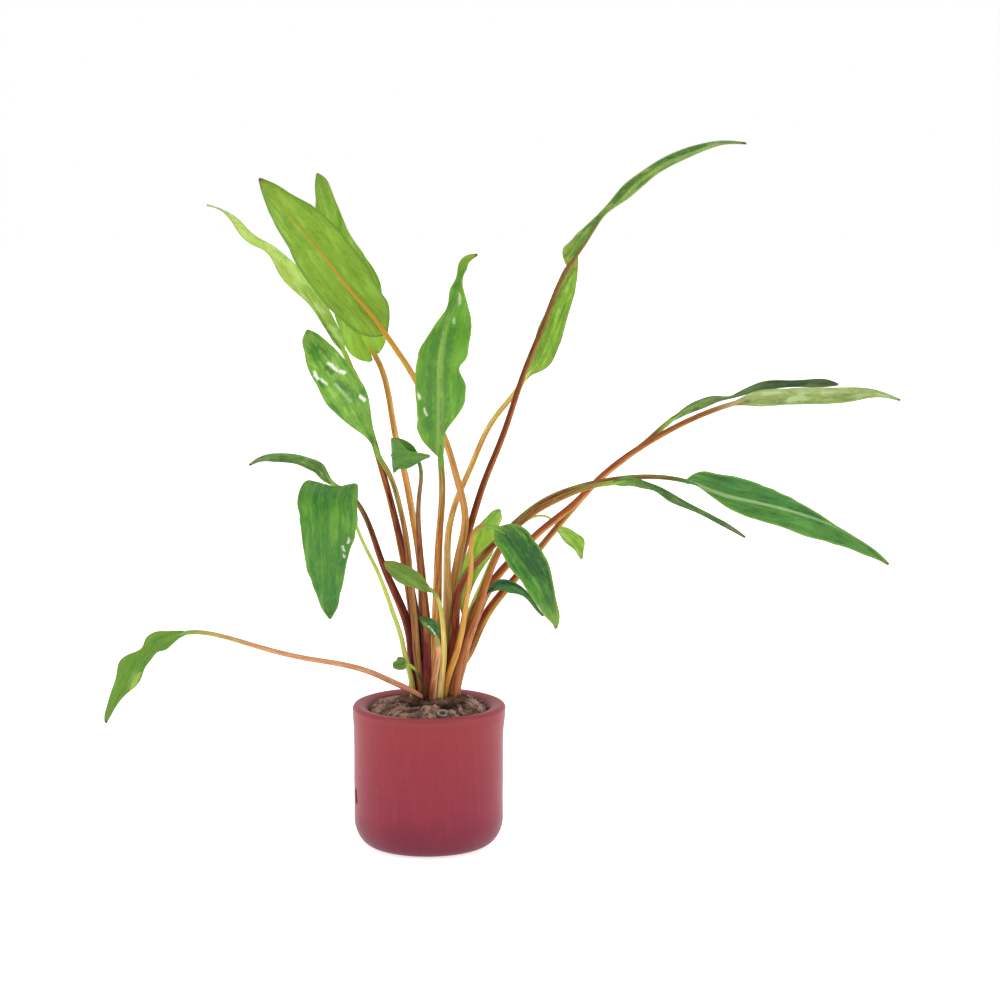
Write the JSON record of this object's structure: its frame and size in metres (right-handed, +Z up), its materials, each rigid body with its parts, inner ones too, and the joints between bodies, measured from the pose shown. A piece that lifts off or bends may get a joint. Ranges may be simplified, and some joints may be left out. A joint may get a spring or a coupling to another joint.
{
  "type": "potted cryptocoryne",
  "caption": "Rosette of long-stalked lance-shaped leaves in a small crimson glazed pot, rooted in a fibrous growing plug.",
  "frame": {"origin": "centre of the pot's flat base, on the surface that it stands on", "axes": "+Z up along the pot's axis, +X to the right and -Y to the front as in the picture"},
  "size_m": [0.2993, 0.1075, 0.2728],
  "materials": {
    "pot_glaze": "satin crimson glaze",
    "plug_wool": "matte fibrous wool with peat",
    "rhizome": "matte knobbly",
    "root": "matte",
    "stalk_tan": "satin orange-brown skin with fine lengthwise streaks",
    "stalk_maroon": "satin dark red-brown skin with fine lengthwise streaks",
    "stalk_olive": "satin olive-brown skin with fine lengthwise streaks",
    "stalk_yellow": "satin yellow-green skin with fine lengthwise streaks",
    "blade_lime": "satin bright lime leaf skin with veins",
    "blade_pale": "satin pale underside leaf skin with veins",
    "blade_green": "satin mid green leaf skin with veins",
    "blade_dark": "satin dark green leaf skin with veins"
  },
  "bodies": {
    "root": {"pot": "pot_glaze", "growing_plug": "plug_wool", "crown": "rhizome", "root_left": "root", "root_front": "root", "root_right": "root", "root_back": "root", "root_loop": "root", "stalk_lime_broad": "stalk_tan", "blade_lime_broad": "blade_lime", "stalk_lime_behind": "stalk_tan", "blade_lime_behind": "blade_lime", "stalk_pale_narrow": "stalk_maroon", "blade_pale_narrow": "blade_pale", "stalk_speckled": "stalk_olive", "blade_speckled": "blade_green", "stalk_wavy_centre": "stalk_olive", "blade_wavy_centre": "blade_green", "stalk_small_triangle": "stalk_olive", "blade_small_triangle": "blade_dark", "stalk_arching_left": "stalk_maroon", "blade_arching_left": "blade_dark", "stalk_hanging_dark": "stalk_yellow", "blade_hanging_dark": "blade_dark", "stalk_tall_arching": "stalk_maroon", "blade_tall_arching": "blade_green", "stalk_lime_under": "stalk_yellow", "blade_lime_under": "blade_lime", "stalk_long_pale_right": "stalk_maroon", "blade_long_pale_right": "blade_pale", "stalk_dark_above_right": "stalk_maroon", "blade_dark_above_right": "blade_dark", "stalk_broad_drooping": "stalk_maroon", "blade_broad_drooping": "blade_dark", "stalk_narrow_drooping": "stalk_tan", "blade_narrow_drooping": "blade_green", "stalk_front_hanging": "stalk_tan", "blade_front_hanging": "blade_dark", "stalk_lime_upright": "stalk_tan", "blade_lime_upright": "blade_lime", "stalk_small_lime": "stalk_yellow", "blade_small_lime": "blade_lime", "stalk_low_dark": "stalk_olive", "blade_low_dark": "blade_dark", "stalk_small_front": "stalk_yellow", "blade_small_front": "blade_green", "stalk_tiny_dark": "stalk_tan", "blade_tiny_dark": "blade_dark", "stalk_tiny_round": "stalk_olive", "blade_tiny_round": "blade_dark", "stalk_low_left": "stalk_tan", "blade_low_left": "blade_green"}
  },
  "joints": []
}
